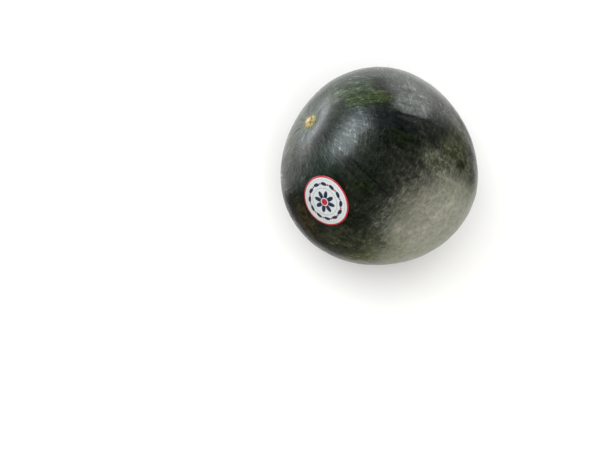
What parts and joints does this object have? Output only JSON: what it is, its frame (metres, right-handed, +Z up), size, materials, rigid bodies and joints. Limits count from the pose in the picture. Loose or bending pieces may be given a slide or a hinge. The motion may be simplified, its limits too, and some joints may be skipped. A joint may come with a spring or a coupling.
{
  "type": "watermelon",
  "caption": "Whole round watermelon with a dark green waxy rind, a corky stem scar, a small flat resting spot and a round film label on its side.",
  "frame": {"origin": "on the surface that the fruit rests on, under the middle of its bounding box", "axes": "+Z up as the fruit rests; the stem scar points up and towards -X and +Y, the label faces up and towards -X and -Y"},
  "size_m": [0.2, 0.202, 0.198],
  "materials": {
    "rind": "satin",
    "film": "satin",
    "cork": "matte"
  },
  "bodies": {
    "root": {"melon": "rind", "label": "film"}
  },
  "joints": []
}
